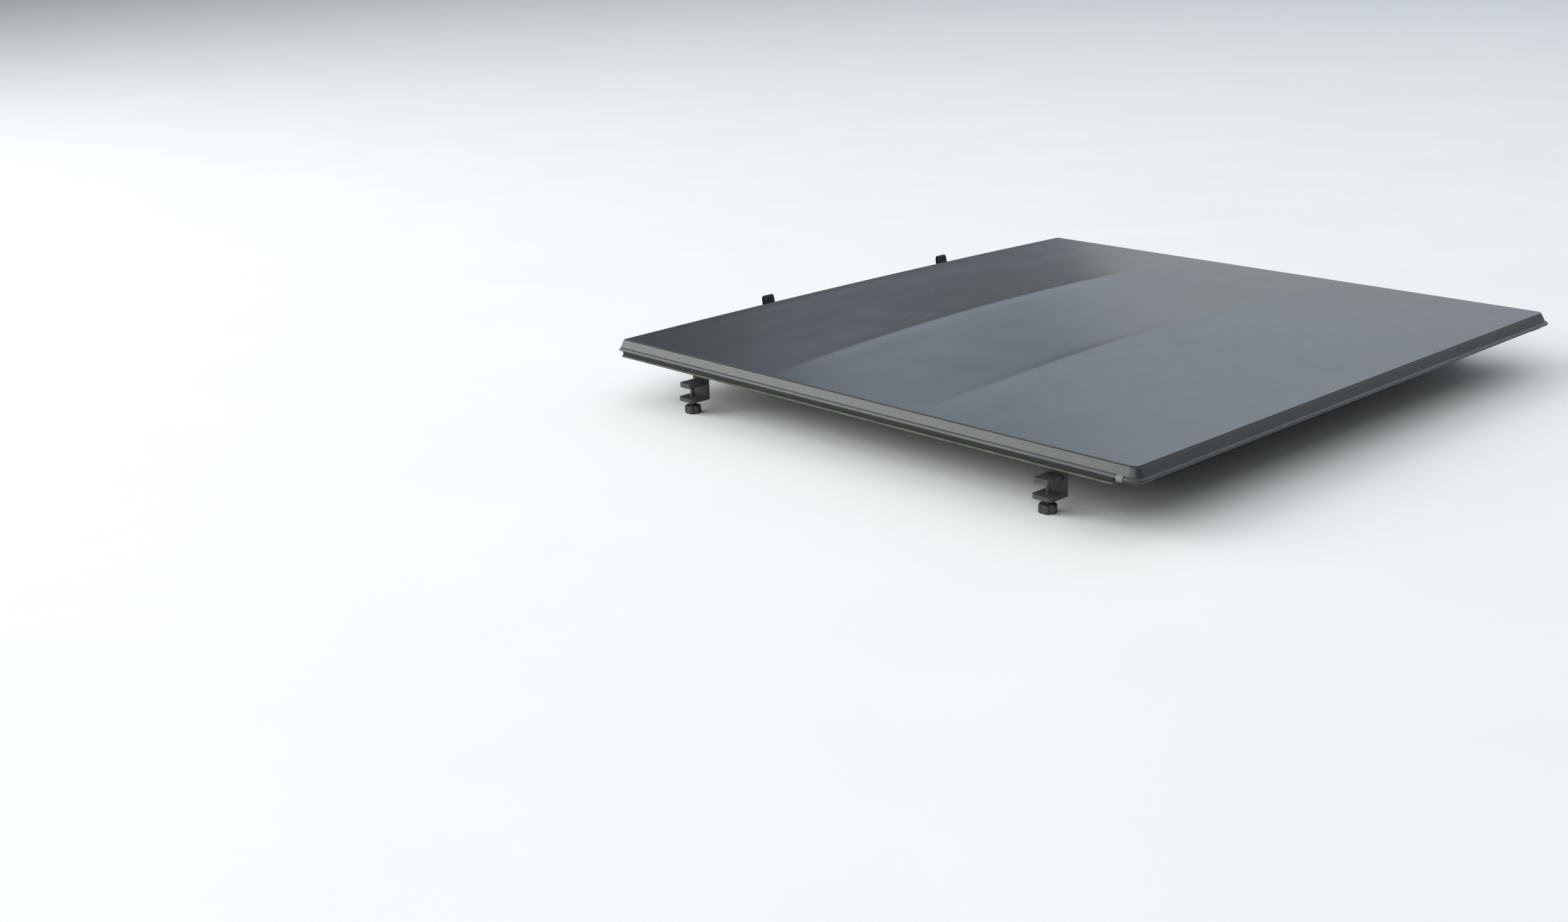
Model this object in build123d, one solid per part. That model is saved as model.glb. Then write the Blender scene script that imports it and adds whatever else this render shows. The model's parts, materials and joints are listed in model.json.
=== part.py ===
from build123d import *
import math
import os

# Soft roll-up cover for a short pickup bed.
# Frame: +X to the right of the truck, +Y towards the cab, +Z up.
# The origin is the centre of the cover on the plane of the bed rails. Millimetres.

# Overall size of the flat top
half_width = 745.0
half_length = 667.0
top_z = 39.0
sheet_thickness = 1.4
corner_radius = 12.0
facets_across = 16

# Crown of the sheet at mid width, along the length
rear_bow_y = -179.0
front_bow_y = 213.0
rear_bow_crown = 19.5
front_bow_crown = 28.0
header_crown = 6.0

# The rolled cover: flat sides of a nested spiral, seven to a turn
sides_per_turn = 7
rolled_sides = 15
first_apothem = 35.0
first_turn_step = 5.8
later_turn_step = 2.5
rear_top_width = 48.0
hinge_gap = 0.2

# Side rails, with the hook tape on top and the seal below
rail_inner_x = 705.0
rail_outer_x = 749.5
rail_top_outer_x = 741.5
rail_base_z = 4.0
rail_shoulder_z = 22.0
rail_top_z = 36.4
rail_wall = 2.0
rail_rear_y = -624.0
tape_thickness = 0.8
tape_margin = 2.0
seal_inner_x = 714.0
seal_outer_x = 752.5
seal_round = 1.4

# Edge trim: bevel and welt that run round the sides and the rear
trim_split_y = -628.0
trim_split_gap = 0.5
trim_top_z = top_z - sheet_thickness - 0.1
trim_wall = 2.6
bevel_top_out = 0.8
bevel_out = 8.0
bevel_bottom_z = 24.6
welt_out = 14.6
welt_bottom_z = 16.2
welt_shoulder = 3.6
welt_round = 2.2

# Header bar, with its flap, corner brackets, screws and seal
header_rear_y = 622.0
header_front_y = 664.0
header_bottom_z = 15.0
header_top_z = 37.4
header_wall = 2.0
header_half = rail_inner_x - 1.0
flap_bottom_z = header_bottom_z + 4.0
flap_gap = 0.1
flap_half = rail_inner_x - 2.0
plate_inner_x = 640.0
plate_bottom_z = 11.0
leg_length = 60.0
leg_thickness = 3.0
leg_top_z = 33.0
plate_screw_xs = (650.0, 682.0)
plate_screw_ys = (630.0, 656.0)
leg_screw_setbacks = (44.0, 18.0)
leg_screw_z = 22.0
shank_radius = 2.4
shank_clearance = 0.1
screw_head_radius = 4.6
screw_head_height = 2.6
bulkhead_seal_half = 636.0
bulkhead_seal_ys = (630.0, 652.0)
strap_channel_depth = 2.2

# Bows, their end caps and the seats they rest on
bow_width = 30.0
bow_height = 13.0
bow_wall = 2.0
bow_half_length = 682.0
bow_top_drop = 1.2
cap_end_x = 689.0
cap_round = 2.0
plug_reach = 20.0
plug_inset = 1.0
plug_lift = 4.2
plug_drop = 3.2
seat_inner_x = 684.0
seat_half_length = 22.0
seat_thickness = 3.0
seat_gap = 0.2

# Rear bar, its end blocks and the tail seal
rear_bar_front_y = -622.0
rear_bar_back_y = -662.0
rear_bar_lip = 5.0
rear_bar_bottom_z = 8.0
rear_bar_wall = 2.2
rear_bar_half_length = 698.0
rear_block_width = 42.0
rear_block_overhang = 6.0
rear_block_cut_x = 739.0
tail_seal_half = 680.0
tail_seal_ys = (-656.0, -630.0)
tail_seal_round = 3.0

# Clamps: places along each rail, and their parts
clamp_ys = {"rear": -470.0, "front": 470.0}
bracket_inner_x = 699.0
bracket_width = 44.0
bracket_top_z = rail_top_z - 4.0
bracket_top_round = 6.0
foot_top_z = -56.0
foot_thickness = 8.0
foot_outer_x = 748.0
foot_round = 8.0
screw_x = 727.0
screw_radius = 4.0
screw_clearance = 0.05
jaw_bottom_z = -34.0
jaw_top_z = -24.0
jaw_half = 16.0
jaw_round = 4.0
jaw_travel = 7.5
jaw_teeth = 5
tooth_pitch = 7.0
tooth_gap = 2.4
swivel_radius = 5.4
swivel_height = 2.6
swivel_clearance = 0.2
knob_radius = 17.0
knob_height = 16.0
knob_round = 2.5
knob_gap = 3.0
knob_lobes = 6
lobe_radius = 7.0
lobe_reach = knob_radius + 4.0

# Stow straps and their buckles
strap_x = 300.0
strap_width = 30.0
strap_thickness = 1.6
strap_bend_radius = 3.6
loop_front_y = half_length + 25.0
loop_top_z = top_z + 18.0
strap_turn_y = half_length + 7.0
strap_rise = 16.0
strap_lean = 3.0
loop_crest_length = 8.0
loop_crest_drop = 1.0
strap_return_y = half_length + 12.0
strap_return_z = top_z - 5.0
strap_end_y = half_length + 1.0
strap_end_z = top_z - 13.0
strap_channel_clearance = 1.5
buckle_half = 18.0
buckle_front_y = 612.0
buckle_rear_y = 582.0
buckle_bottom_z = 4.0
buckle_top_z = 13.0
buckle_lid = 2.0
buckle_round = 4.0
socket_side = 4.0
socket_floor = 2.5
socket_end_y = 604.0
prong_clearance = 0.5
prong_slot_half = 5.0
crossbar_ys = (560.0, 580.0)
crossbar_round = 3.0
crossbar_slot_ys = (564.0, 570.0)

# Blocks that only cut other shapes reach at least this far past them
beyond = 60.0

os.makedirs("parts", exist_ok=True)
upwards = (Align.CENTER, Align.CENTER, Align.MIN)
downwards = (Align.CENTER, Align.CENTER, Align.MAX)


def save(name, shape):
    shape.label = name
    export_step(shape, f"parts/{name}.step")


def save_pair(name, right_shape):
    """Save a right-hand piece and its mirror image on the left."""
    save(f"{name}_right", right_shape)
    save(f"{name}_left", mirror(right_shape, Plane.YZ))


def box(x0, x1, y0, y1, z0, z1):
    size = (x1 - x0, y1 - y0, z1 - z0)
    centre = ((x0 + x1) / 2, (y0 + y1) / 2, (z0 + z1) / 2)
    return Pos(*centre) * Box(*size)


def crown(y):
    """Height of the sheet's top at mid width above its side edges."""
    flat_end = -half_length + rear_top_width
    knots = [
        (flat_end, 0.0),
        (rear_bow_y, rear_bow_crown),
        (front_bow_y, front_bow_crown),
        (half_length, header_crown),
    ]
    if y <= flat_end:
        return 0.0
    for (y0, c0), (y1, c1) in zip(knots, knots[1:]):
        if y <= y1:
            return c0 + (c1 - c0) * (y - y0) / (y1 - y0)
    return header_crown


def arc_height(x, sagitta):
    """Height of a crowned line above its ends at full width."""
    return sagitta * (1 - (x / half_width) ** 2)


def crowned_points(y, z, sagitta, half):
    """Points of a crowned line across the cover, from left to right."""
    xs = [half * (2 * i / facets_across - 1) for i in range(facets_across + 1)]
    return [(x, y, z + arc_height(x, sagitta)) for x in xs]


def panel(*points):
    """A flat face through its corners."""
    return make_face(Polyline(*points, close=True))


def skin(rows):
    """Flat triangles over a grid of points, mirrored about mid width."""
    faces = []
    for near, far in zip(rows, rows[1:]):
        for j in range(facets_across):
            a, b = near[j], near[j + 1]
            c, d = far[j + 1], far[j]
            if j < facets_across / 2:
                faces += [panel(a, b, c), panel(a, c, d)]
            else:
                faces += [panel(a, b, d), panel(b, c, d)]
    return faces


def crowned_band(stations, z_top, z_bottom, half):
    """A thin crowned sheet through (y, sagitta) stations, straight between them."""
    top = [crowned_points(y, z_top, sagitta, half) for y, sagitta in stations]
    bottom = [crowned_points(y, z_bottom, sagitta, half) for y, sagitta in stations]
    faces = skin(top) + skin(bottom)
    for end in (0, -1):
        faces.append(panel(*top[end], *reversed(bottom[end])))
        side_top = [row[end] for row in top]
        side_bottom = [row[end] for row in bottom]
        faces.append(panel(*side_top, *reversed(side_bottom)))
    return Solid(Shell(faces))


def crowned_tube(y0, y1, z_top, z_bottom, sagitta, half, wall):
    """A hollow crowned bar that is open at both ends."""
    outside = [(y0, sagitta), (y1, sagitta)]
    inside = [(y0 + wall, sagitta), (y1 - wall, sagitta)]
    shell = crowned_band(outside, z_top, z_bottom, half)
    core = crowned_band(inside, z_top - wall, z_bottom + wall, half + wall)
    return shell - core


def roll_sides():
    """Lengths of the roll's flat sides, from the rear bar towards the cab."""
    turn = 2 * math.pi / sides_per_turn
    apothems = []
    for k in range(rolled_sides + 2):
        first_turn = min(k, sides_per_turn)
        later_turns = max(k - sides_per_turn, 0)
        apothems.append(
            first_apothem + first_turn_step * first_turn + later_turn_step * later_turns
        )
    lengths = []
    for before, here, after in zip(apothems, apothems[1:], apothems[2:]):
        lengths.append((after + before - 2 * here * math.cos(turn)) / math.sin(turn))
    return lengths


def hinge_lines():
    """Places along Y where the sheet bends, from the cab to the rear bar."""
    lines = [-half_length + rear_top_width]
    for length in roll_sides():
        lines.append(lines[-1] + length)
    return lines[::-1]


def sheet(y0, y1):
    """One strip of the sheet, with a ridge where it crosses a bow."""
    ridges = [y for y in (rear_bow_y, front_bow_y) if y0 < y < y1]
    stations = [(y, crown(y)) for y in [y0, *ridges, y1]]
    return crowned_band(stations, top_z, top_z - sheet_thickness, half_width)


def along_side(face, rear_y, front_y):
    """Push a face drawn in X and Z from the rear to the front."""
    plane = Plane(origin=(0, rear_y, 0), x_dir=(1, 0, 0), z_dir=(0, -1, 0))
    return extrude(plane * face, rear_y - front_y)


def across(face, x0, x1):
    """Push a face drawn in Y and Z from the left to the right."""
    plane = Plane(origin=(x0, 0, 0), x_dir=(0, 1, 0), z_dir=(1, 0, 0))
    return extrude(plane * face, x1 - x0)


# Sheet and its front flap

folds = hinge_lines()
save("front_sheet", sheet(folds[0] + hinge_gap, half_length))
for number, (y1, y0) in enumerate(zip(folds, folds[1:]), start=1):
    save(f"sheet_{number:02d}", sheet(y0 + hinge_gap, y1 - hinge_gap))

flap_stations = [
    (half_length - sheet_thickness, header_crown),
    (half_length, header_crown),
]
flap_top_z = top_z - sheet_thickness - flap_gap
flap = crowned_band(flap_stations, flap_top_z, flap_bottom_z, flap_half)
save("front_flap", flap)

rear_outline = Pos(0, -half_length + rear_top_width / 2) * Rectangle(
    2 * half_width, rear_top_width
)
rear_corners = rear_outline.vertices().group_by(Axis.Y)[0]
rear_outline = fillet(rear_corners, corner_radius)
rear_sheet = Pos(0, 0, top_z - sheet_thickness) * extrude(rear_outline, sheet_thickness)
rear_sheet -= box(
    -half_width - beyond,
    half_width + beyond,
    folds[-1] - hinge_gap,
    folds[-1] + beyond,
    0,
    top_z + beyond,
)
save("rear_sheet", rear_sheet)


# Edge trim

trim_outline = Polyline(
    (-trim_wall, trim_top_z),
    (bevel_top_out, trim_top_z),
    (bevel_out, bevel_bottom_z),
    (bevel_out + welt_shoulder, bevel_bottom_z),
    (welt_out, bevel_bottom_z - welt_round),
    (welt_out, welt_bottom_z + welt_round),
    (welt_out - welt_round, welt_bottom_z),
    (bevel_out - trim_wall, welt_bottom_z),
    (bevel_out - trim_wall, bevel_bottom_z),
    close=True,
)
trim_plane = Plane(
    origin=(half_width, half_length, 0), x_dir=(1, 0, 0), z_dir=(0, -1, 0)
)
trim_path = FilletPolyline(
    (half_width, half_length),
    (half_width, -half_length),
    (-half_width, -half_length),
    (-half_width, half_length),
    radius=corner_radius,
)
trim = sweep(trim_plane * make_face(trim_outline), path=trim_path)
rear_zone = box(
    -half_width - beyond,
    half_width + beyond,
    -half_length - beyond,
    trim_split_y - trim_split_gap,
    0,
    beyond,
)
right_zone = box(
    rail_inner_x,
    half_width + beyond,
    trim_split_y + trim_split_gap,
    half_length + beyond,
    0,
    beyond,
)
save("rear_edge_trim", trim & rear_zone)
save_pair("edge_trim", trim & right_zone)


# Side rails, tapes and seals

rail_outline = Polyline(
    (rail_inner_x, rail_base_z),
    (rail_outer_x, rail_base_z),
    (rail_outer_x, rail_shoulder_z),
    (rail_top_outer_x, rail_top_z),
    (rail_inner_x, rail_top_z),
    close=True,
)
rail_face = make_face(rail_outline)
rail_hollow = offset(rail_face, -rail_wall, kind=Kind.INTERSECTION)
side_rail = along_side(rail_face - rail_hollow, rail_rear_y, half_length)
hook_tape = box(
    rail_inner_x + tape_margin,
    rail_top_outer_x - tape_margin,
    folds[-1] + 2 * tape_margin,
    half_length - 4 * tape_margin,
    rail_top_z,
    rail_top_z + tape_thickness,
)
seal_centre_x = (seal_inner_x + seal_outer_x) / 2
seal_face = Pos(seal_centre_x, rail_base_z / 2) * RectangleRounded(
    seal_outer_x - seal_inner_x, rail_base_z, seal_round
)
save_pair("side_rail", side_rail)
save_pair("hook_tape", hook_tape)
save_pair("rail_seal", along_side(seal_face, rail_rear_y, half_length))


# Header, its corner brackets, their screws and the bulkhead seal


def screw(place, shank_length):
    """A screw whose head lies at the place and whose shank goes the other way."""
    shank = place * Cylinder(shank_radius, shank_length, align=upwards)
    head = place * Cylinder(screw_head_radius, screw_head_height, align=downwards)
    hole = place * Cylinder(shank_radius + shank_clearance, shank_length, align=upwards)
    return shank + head, hole


header_bar = crowned_tube(
    header_rear_y,
    header_front_y,
    header_top_z,
    header_bottom_z,
    header_crown,
    header_half,
    header_wall,
)
save("header_bar", header_bar)

corner_plate = box(
    plate_inner_x,
    rail_inner_x,
    header_rear_y,
    header_front_y,
    plate_bottom_z,
    header_bottom_z,
)
corner_leg = box(
    rail_inner_x - leg_thickness,
    rail_inner_x,
    header_rear_y - leg_length,
    header_rear_y,
    plate_bottom_z,
    leg_top_z,
)
corner_bracket = corner_plate + corner_leg
plate_thickness = header_bottom_z - plate_bottom_z
screws = []
for x in plate_screw_xs:
    for y in plate_screw_ys:
        one_screw, hole = screw(Pos(x, y, plate_bottom_z), plate_thickness)
        corner_bracket -= hole
        screws.append(one_screw)
for setback in leg_screw_setbacks:
    leg_face = Pos(rail_inner_x - leg_thickness, header_rear_y - setback, leg_screw_z)
    one_screw, hole = screw(leg_face * Rot(0, 90, 0), leg_thickness)
    corner_bracket -= hole
    screws.append(one_screw)
save_pair("header_corner", corner_bracket)
left_screws = [mirror(one_screw, Plane.YZ) for one_screw in screws]
save("corner_screws", Compound(children=screws + left_screws))

bulkhead_seal = box(
    -bulkhead_seal_half, bulkhead_seal_half, *bulkhead_seal_ys, 0, header_bottom_z
)
channel_half = strap_width / 2 + strap_channel_clearance
for sign in (-1, 1):
    bulkhead_seal -= box(
        sign * strap_x - channel_half,
        sign * strap_x + channel_half,
        bulkhead_seal_ys[0] - 1,
        bulkhead_seal_ys[1] + 1,
        header_bottom_z - strap_channel_depth,
        header_bottom_z + 1,
    )
save("bulkhead_seal", bulkhead_seal)


# Bows, their end caps and the seats they rest on

bow_top_z = top_z - sheet_thickness - bow_top_drop
bow_bottom_z = bow_top_z - bow_height
seats = []
for place, bow_y, sagitta in (
    ("rear", rear_bow_y, rear_bow_crown),
    ("front", front_bow_y, front_bow_crown),
):
    y0 = bow_y - bow_width / 2
    y1 = bow_y + bow_width / 2
    bow = crowned_tube(
        y0, y1, bow_top_z, bow_bottom_z, sagitta, bow_half_length, bow_wall
    )
    save(f"bow_{place}", bow)
    low = bow_bottom_z + arc_height(cap_end_x, sagitta)
    high = bow_top_z + arc_height(cap_end_x, sagitta)
    cap = box(bow_half_length, cap_end_x, y0, y1, low, high)
    cap = fillet(cap.edges().filter_by(Axis.Z), cap_round)
    plug = box(
        bow_half_length - plug_reach,
        bow_half_length,
        y0 + bow_wall + plug_inset,
        y1 - bow_wall - plug_inset,
        low + plug_lift,
        high - plug_drop,
    )
    right_cap = cap + plug
    caps = [right_cap, mirror(right_cap, Plane.YZ)]
    save(f"bow_{place}_caps", Compound(children=caps))
    seat_top = low - seat_gap
    seat_y0 = bow_y - seat_half_length
    seat_y1 = bow_y + seat_half_length
    shelf = box(
        seat_inner_x, rail_inner_x, seat_y0, seat_y1, seat_top - seat_thickness, seat_top
    )
    back = box(
        rail_inner_x - seat_thickness,
        rail_inner_x,
        seat_y0,
        seat_y1,
        rail_base_z + seat_thickness,
        seat_top,
    )
    seats.append(shelf + back)
save_pair("bow_seats", Compound(children=seats))


# Rear bar, its end blocks and the tail seal


def rear_outline_points(front_y, bottom_z):
    """Cross-section in Y and Z of what lies inside the rear edge trim."""
    return [
        (front_y, bottom_z),
        (front_y, trim_top_z),
        (rear_bar_back_y, trim_top_z),
        (rear_bar_back_y - rear_bar_lip, bevel_bottom_z),
        (rear_bar_back_y - rear_bar_lip, bottom_z),
    ]


bar_points = rear_outline_points(rear_bar_front_y, rear_bar_bottom_z)
bar_outline = make_face(Polyline(*bar_points, close=True))
bar_hollow = offset(bar_outline, -rear_bar_wall, kind=Kind.INTERSECTION)
rear_bar = across(
    bar_outline - bar_hollow, -rear_bar_half_length, rear_bar_half_length
)
save("rear_bar", rear_bar)

block_points = rear_outline_points(rear_bar_front_y - rear_block_overhang, rail_base_z)
block_outline = make_face(Polyline(*block_points, close=True))
block_end_x = rear_bar_half_length + rear_block_width
rear_block = across(block_outline, rear_bar_half_length, block_end_x)
rear_block -= box(
    rear_block_cut_x,
    block_end_x + beyond,
    -half_length - beyond,
    rear_bar_front_y,
    bevel_bottom_z,
    beyond,
)
save_pair("rear_block", rear_block - trim)

tail_seal = box(-tail_seal_half, tail_seal_half, *tail_seal_ys, 0, rear_bar_bottom_z)
tail_seal_edges = tail_seal.edges().filter_by(Axis.X).group_by(Axis.Z)[0]
save("tail_seal", fillet(tail_seal_edges, tail_seal_round))


# Clamps

foot_bottom_z = foot_top_z - foot_thickness
knob_top_z = foot_bottom_z - jaw_travel - knob_gap
for place, clamp_y in clamp_ys.items():
    y0 = clamp_y - bracket_width / 2
    y1 = clamp_y + bracket_width / 2
    plate = box(bracket_inner_x, rail_inner_x, y0, y1, foot_bottom_z, bracket_top_z)
    plate_corners = plate.edges().filter_by(Axis.X).group_by(Axis.Z)[-1]
    plate = fillet(plate_corners, bracket_top_round)
    foot = box(bracket_inner_x, foot_outer_x, y0, y1, foot_bottom_z, foot_top_z)
    foot_corners = foot.edges().filter_by(Axis.Z).group_by(Axis.X)[-1]
    foot = fillet(foot_corners, foot_round)
    bore = Pos(screw_x, clamp_y, foot_bottom_z) * Cylinder(
        screw_radius + screw_clearance, foot_thickness, align=upwards
    )
    save_pair(f"clamp_bracket_{place}", plate + foot - bore)

    jaw = box(
        rail_inner_x + 1,
        foot_outer_x,
        clamp_y - jaw_half,
        clamp_y + jaw_half,
        jaw_bottom_z,
        jaw_top_z,
    )
    jaw = fillet(jaw.edges().filter_by(Axis.Z), jaw_round)
    for i in range(jaw_teeth):
        groove_x = rail_inner_x + (i + 1) * tooth_pitch + 1
        groove = Pos(groove_x, clamp_y, jaw_top_z) * Box(
            tooth_gap, 2 * jaw_half + 2, tooth_gap
        )
        jaw -= groove
    socket = Pos(screw_x, clamp_y, jaw_bottom_z) * Cylinder(
        swivel_radius + swivel_clearance,
        swivel_height + swivel_clearance,
        align=upwards,
    )
    save_pair(f"clamp_jaw_{place}", jaw - socket)

    stem = Pos(screw_x, clamp_y, knob_top_z) * Cylinder(
        screw_radius, jaw_bottom_z - knob_top_z, align=upwards
    )
    swivel = Pos(screw_x, clamp_y, jaw_bottom_z) * Cylinder(
        swivel_radius, swivel_height, align=upwards
    )
    grip = Pos(screw_x, clamp_y, knob_top_z) * Cylinder(
        knob_radius, knob_height, align=downwards
    )
    grip = fillet(grip.edges().filter_by(GeomType.CIRCLE), knob_round)
    for i in range(knob_lobes):
        angle = 2 * math.pi * i / knob_lobes
        lobe_x = screw_x + lobe_reach * math.cos(angle)
        lobe_y = clamp_y + lobe_reach * math.sin(angle)
        grip -= Pos(lobe_x, lobe_y, knob_top_z) * Cylinder(
            lobe_radius, knob_height, align=downwards
        )
    save_pair(f"clamp_knob_{place}", stem + swivel + grip)


# Stow straps and their buckles

strap_low_z = header_bottom_z - strap_thickness / 2
strap_line = FilletPolyline(
    (buckle_front_y, strap_low_z),
    (strap_turn_y, strap_low_z),
    (loop_front_y - strap_lean, strap_low_z + strap_rise),
    (loop_front_y, loop_top_z),
    (loop_front_y - loop_crest_length, loop_top_z - loop_crest_drop),
    (strap_return_y, strap_return_z),
    (strap_end_y, strap_end_z),
    radius=strap_bend_radius,
)
strap_face = trace(strap_line, strap_thickness)
strap = across(strap_face, strap_x - strap_width / 2, strap_x + strap_width / 2)
save_pair("stow_strap", strap)

x0 = strap_x - buckle_half
x1 = strap_x + buckle_half
buckle_body = box(
    x0, x1, buckle_rear_y, buckle_front_y, buckle_bottom_z, buckle_top_z + buckle_lid
)
buckle_body = fillet(buckle_body.edges().filter_by(Axis.Z), buckle_round)
socket_top_z = buckle_top_z - prong_clearance
buckle_body -= box(
    x0 + socket_side,
    x1 - socket_side,
    buckle_rear_y - 1,
    socket_end_y,
    buckle_bottom_z + socket_floor,
    socket_top_z,
)
save_pair("buckle_body", buckle_body)

prong = box(
    x0 + socket_side + prong_clearance,
    x1 - socket_side - prong_clearance,
    crossbar_ys[0] + 2 * crossbar_round,
    socket_end_y - 2 * prong_clearance,
    buckle_bottom_z + socket_floor + prong_clearance,
    socket_top_z - prong_clearance,
)
prong -= box(
    strap_x - prong_slot_half,
    strap_x + prong_slot_half,
    buckle_rear_y + 2,
    socket_end_y,
    0,
    buckle_top_z,
)
crossbar = box(x0, x1, *crossbar_ys, buckle_bottom_z, buckle_top_z)
crossbar = fillet(crossbar.edges().filter_by(Axis.Z), crossbar_round)
crossbar_slot = box(
    strap_x - strap_width / 2 - 1,
    strap_x + strap_width / 2 + 1,
    *crossbar_slot_ys,
    0,
    buckle_top_z + buckle_lid,
)
save_pair("buckle_tongue", prong + crossbar - crossbar_slot)
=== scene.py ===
"""Looks of a soft roll-up tonneau cover: its sheet, edge trim and straps, and a finish for every part."""

import json
import math

import bmesh
import bpy
import numpy as np
from mathutils import Euler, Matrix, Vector
from mathutils.noise import noise


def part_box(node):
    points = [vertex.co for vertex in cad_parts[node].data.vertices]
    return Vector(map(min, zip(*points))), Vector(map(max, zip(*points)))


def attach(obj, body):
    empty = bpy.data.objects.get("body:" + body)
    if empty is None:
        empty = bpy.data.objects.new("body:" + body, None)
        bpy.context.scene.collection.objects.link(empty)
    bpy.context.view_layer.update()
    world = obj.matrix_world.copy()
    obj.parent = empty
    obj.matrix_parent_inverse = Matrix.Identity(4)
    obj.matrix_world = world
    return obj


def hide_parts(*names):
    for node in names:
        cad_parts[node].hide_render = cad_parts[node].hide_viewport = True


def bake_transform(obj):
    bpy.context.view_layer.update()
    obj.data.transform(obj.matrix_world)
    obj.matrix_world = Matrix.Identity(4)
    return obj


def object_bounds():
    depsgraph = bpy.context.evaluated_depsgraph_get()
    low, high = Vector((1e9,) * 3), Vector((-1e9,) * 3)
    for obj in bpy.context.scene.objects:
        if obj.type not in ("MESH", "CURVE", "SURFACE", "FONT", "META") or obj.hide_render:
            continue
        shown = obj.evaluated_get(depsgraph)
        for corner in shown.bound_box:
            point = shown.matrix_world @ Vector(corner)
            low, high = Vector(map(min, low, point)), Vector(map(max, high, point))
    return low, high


MM = 0.001

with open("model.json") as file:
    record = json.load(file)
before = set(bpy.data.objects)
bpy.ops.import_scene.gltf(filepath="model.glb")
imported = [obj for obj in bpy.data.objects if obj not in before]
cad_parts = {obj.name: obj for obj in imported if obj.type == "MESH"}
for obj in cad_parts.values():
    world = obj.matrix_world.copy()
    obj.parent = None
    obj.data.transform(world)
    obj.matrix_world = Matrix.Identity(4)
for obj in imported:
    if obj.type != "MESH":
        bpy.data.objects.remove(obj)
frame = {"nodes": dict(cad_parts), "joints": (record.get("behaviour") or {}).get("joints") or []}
cad_low, cad_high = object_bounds()
nodes = frame["nodes"]

# ---------------------------------------------------------------- sizes from the frame

HALF_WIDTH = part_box("sheet_08")[1].x
HALF_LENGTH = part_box("front_sheet")[1].y
SIDE_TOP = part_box("rear_sheet")[1].z
THICKNESS = 1.4 * MM
CORNER = 12 * MM

fold_joints = sorted(
    (j for j in frame["joints"] if j["name"].startswith("roll_fold_")),
    key=lambda j: j["name"],
)
FOLDS = [j["pos_m"][1] for j in fold_joints]
ROLL_BODIES = ["bed_frame"] + [j["child"] for j in fold_joints]


def middle(node):
    """The centre of a node's box."""
    low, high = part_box(node)
    return (low + high) / 2


BOWS = [middle("bow_rear").y, middle("bow_front").y]
BOW_HALF = (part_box("bow_front")[1].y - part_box("bow_front")[0].y) / 2
CROWN_KNOTS = [
    (FOLDS[-1], 0.0),
    (BOWS[0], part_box("sheet_08")[1].z - SIDE_TOP),
    (BOWS[1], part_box("sheet_03")[1].z - SIDE_TOP),
    (HALF_LENGTH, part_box("front_flap")[1].z + THICKNESS - SIDE_TOP),
]
BAY_SAG = [3.2 * MM, 4.8 * MM, 3.4 * MM]
HEADER_DEPTH = 40 * MM
RIDGE_SOFTNESS = 9 * MM
RIDGE_HUMP = 1.0 * MM
HUMP_WIDTH = 19 * MM
TAIL_SOFTNESS = 6 * MM
TAIL_CLEAR_OF_BOW = 100 * MM
RIPPLE_HEIGHT = 0.55 * MM
LONG_SHARE = 0.60
FINE_SHARE = 0.22
CROSS_SHARE = 0.30
RAIL_FADE = 160 * MM
END_FADE = 90 * MM
BOW_FADE = 70 * MM
RIPPLE_OVER_BOW = 0.35


def smooth_step(t):
    """A share from 0 to 1 that starts and ends level."""
    t = np.clip(t, 0, 1)
    return t * t * (3 - 2 * t)


def crown(y):
    """Height of the sheet's middle above its side edges: taut over the bows, and eased at each ridge."""
    ys = np.array([k[0] for k in CROWN_KNOTS])
    cs = np.array([k[1] for k in CROWN_KNOTS])
    slopes = np.diff(cs) / np.diff(ys)
    height = cs[0] + slopes[0] * (y - ys[0])
    for knot, change in zip(ys[1:-1], np.diff(slopes)):
        step = y - knot
        height += change / 2 * (step + np.sqrt(step**2 + RIDGE_SOFTNESS**2))
        height += RIDGE_HUMP * np.exp(-((step / HUMP_WIDTH) ** 2))
    lead_in = (y - ys[0] + np.sqrt((y - ys[0]) ** 2 + TAIL_SOFTNESS**2)) / 2
    height = np.where(y < BOWS[0] - TAIL_CLEAR_OF_BOW, slopes[0] * lead_in, height)
    return np.maximum(height, 0)


def bay_sag(y):
    """How far the sheet hangs below the taut line between its supports."""
    stops = [FOLDS[-1], BOWS[0], BOWS[1], HALF_LENGTH - HEADER_DEPTH]
    sag = np.zeros_like(y)
    for (low, high), depth in zip(zip(stops, stops[1:]), BAY_SAG):
        t = np.clip((y - low) / (high - low), 0, 1)
        sag += depth * 4 * t * (1 - t)
    return sag


def wave_set(seed, count, across, along):
    """Random plane waves: their numbers across and along the cover, and their phases."""
    draw = np.random.default_rng(seed)
    numbers_x = draw.normal(0, across, count)
    numbers_y = draw.normal(0, along, count)
    phases = draw.uniform(0, 2 * math.pi, count)
    return numbers_x, numbers_y, phases


def wave_sum(waves, x, y):
    """Smooth random height of about unit size, from a set of plane waves."""
    total = 0.0
    for number_x, number_y, phase in zip(*waves):
        total = total + np.sin(number_x * x + number_y * y + phase)
    return total / math.sqrt(len(waves[0]) / 2)


LONG_WAVES = wave_set(11, 14, 20.0, 6.0)
FINE_WAVES = wave_set(23, 14, 16.0, 46.0)
CROSS_WAVES = wave_set(37, 12, 8.0, 30.0)


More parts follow.
